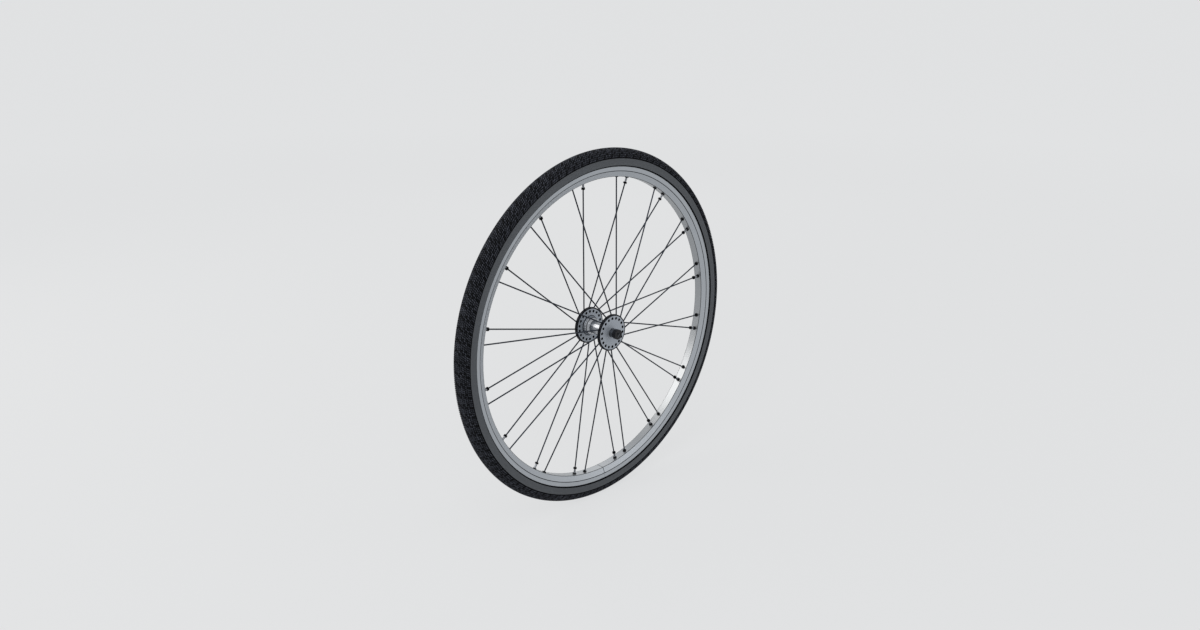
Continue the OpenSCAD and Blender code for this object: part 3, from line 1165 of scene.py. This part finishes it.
@dataclass
class Studio:
    """A pale floor that runs to the horizon, soft lamps, and the camera, in metres and degrees."""

    backdrop: Colour = from_screen(224, 225, 226)
    floor_size: float = 400.0
    floor_share: float = 0.9
    near_glow: float = 1.0
    far_glow: float = 1.07
    glow_reach: float = 5.0
    sky_strength: float = 0.55
    azimuth: float = -45.2
    elevation: float = 19.0
    distance: float = 2.002
    raise_by: float = 0.0263
    lens: float = 30.96
    sensor: float = 36.0
    sight: float = 1000.0
    lamps: tuple[Lamp, ...] = (
        Lamp("key", (-2.2, -1.6, 2.6), width=2.6, power=60.0),
        Lamp("fill", (1.6, -2.4, 1.4), width=2.0, power=14.0),
        Lamp("back", (-1.27, 1.87, 1.41), width=2.2, power=29.0, colour=(1.0, 0.96, 0.91)),
        Lamp("low", (1.9, 1.9, 1.2), width=2.0, power=6.0),
        Lamp("top", (-0.7, -0.5, 3.0), width=1.4, power=12.0),
    )

    def build_floor(self, height: float) -> None:
        """Lays the floor, and paints it so that it looks like the backdrop and still takes a shadow.

        Args:
            height: Where the wheel's lowest point is.
        """
        half = self.floor_size / 2
        mesh = bpy.data.meshes.new("floor")
        corners = [(x * half, y * half, height) for x, y in ((-1, -1), (1, -1), (1, 1), (-1, 1))]
        mesh.from_pydata(corners, [], [(0, 1, 2, 3)])
        made = bpy.data.materials.new("floor_paint")
        made.use_nodes = True
        made.node_tree.nodes.clear()
        write = NodeWriter(made.node_tree)
        paint = write.made("ShaderNodeBsdfDiffuse", {"Color": (*self.backdrop, 1.0)})
        away = write.maths("DIVIDE", Place(write).distance, self.glow_reach, clamp=True)
        strength = write.maths("MULTIPLY_ADD", away, self.far_glow - self.near_glow, self.near_glow)
        glow = write.made("ShaderNodeEmission", {"Color": (*self.backdrop, 1.0), "Strength": strength})
        share = write.maths("MULTIPLY", self.seen(write), self.floor_share)
        both = write.add("ShaderNodeMixShader")
        write.feed(both.inputs[0], share)
        write.feed(both.inputs[1], paint.outputs[0])
        write.feed(both.inputs[2], glow.outputs[0])
        write.made("ShaderNodeOutputMaterial", {"Surface": both.outputs[0]})
        mesh.materials.append(made)
        placed("floor", mesh)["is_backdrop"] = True

    @staticmethod
    def seen(write: NodeWriter) -> Socket:
        """Gives 1 for rays from the camera, straight or by way of metal or glass, and 0 for others.

        Args:
            write: The floor's or the world's node writer.

        Returns:
            The mask's socket.
        """
        rays = write.add("ShaderNodeLightPath").outputs
        glossy = write.maths("ADD", rays["Is Camera Ray"], rays["Is Glossy Ray"])
        return write.maths("ADD", glossy, rays["Is Transmission Ray"], clamp=True)

    def build_sky(self) -> None:
        """Makes the world: the backdrop's colour where it is seen, and an even, softer light elsewhere."""
        world = bpy.data.worlds.new("studio")
        bpy.context.scene.world = world
        world.use_nodes = True
        world.node_tree.nodes.clear()
        write = NodeWriter(world.node_tree)
        seen = self.seen(write)
        strength = write.maths("MULTIPLY_ADD", seen, 1.0 - self.sky_strength, self.sky_strength)
        sky = write.made("ShaderNodeBackground", {"Color": (*self.backdrop, 1.0), "Strength": strength})
        write.made("ShaderNodeOutputWorld", {"Surface": sky.outputs[0]})

    def build_lamps(self) -> None:
        """Hangs the lamps."""
        for lamp in self.lamps:
            light = bpy.data.lights.new(lamp.name, "AREA")
            light.shape = "DISK"
            light.size = lamp.width
            light.energy = lamp.power
            light.color = lamp.colour
            hung = placed(lamp.name, light)
            hung.location = lamp.place
            hung.rotation_mode = "QUATERNION"
            hung.rotation_quaternion = (-Vector(lamp.place)).to_track_quat("-Z", "Y")

    def build_camera(self) -> None:
        """Sets up the camera, which looks a little above the wheel's centre."""
        turn, rise = math.radians(self.azimuth), math.radians(self.elevation)
        back = Vector((math.sin(turn) * math.cos(rise), -math.cos(turn) * math.cos(rise), math.sin(rise)))
        right = Vector((math.cos(turn), math.sin(turn), 0.0))
        up = back.cross(right)
        lens = bpy.data.cameras.new("camera")
        lens.lens = self.lens
        lens.sensor_width = self.sensor
        lens.clip_end = self.sight
        camera = placed("camera", lens)
        camera.location = back * self.distance + up * self.raise_by
        camera.rotation_euler = (math.radians(90) - rise, 0.0, turn)
        bpy.context.scene.camera = camera

    def build(self, height: float) -> None:
        """Builds the whole studio.

        Args:
            height: Where the wheel's lowest point is.
        """
        bpy.context.scene.view_settings.view_transform = "Standard"
        self.build_camera()
        self.build_sky()
        self.build_lamps()
        self.build_floor(height)


def main() -> None:
    """Builds and dresses the wheel in the studio."""
    logging.basicConfig(level=logging.INFO, format="%(name)s: %(message)s")
    solid_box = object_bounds()
    Studio().build(solid_box[0].z)
    tyre = Tyre()
    tyre.dress(tyre.build_casing(), tyre.build_tread())
    Dressing().dress()


if __name__ == "__main__":
    main()
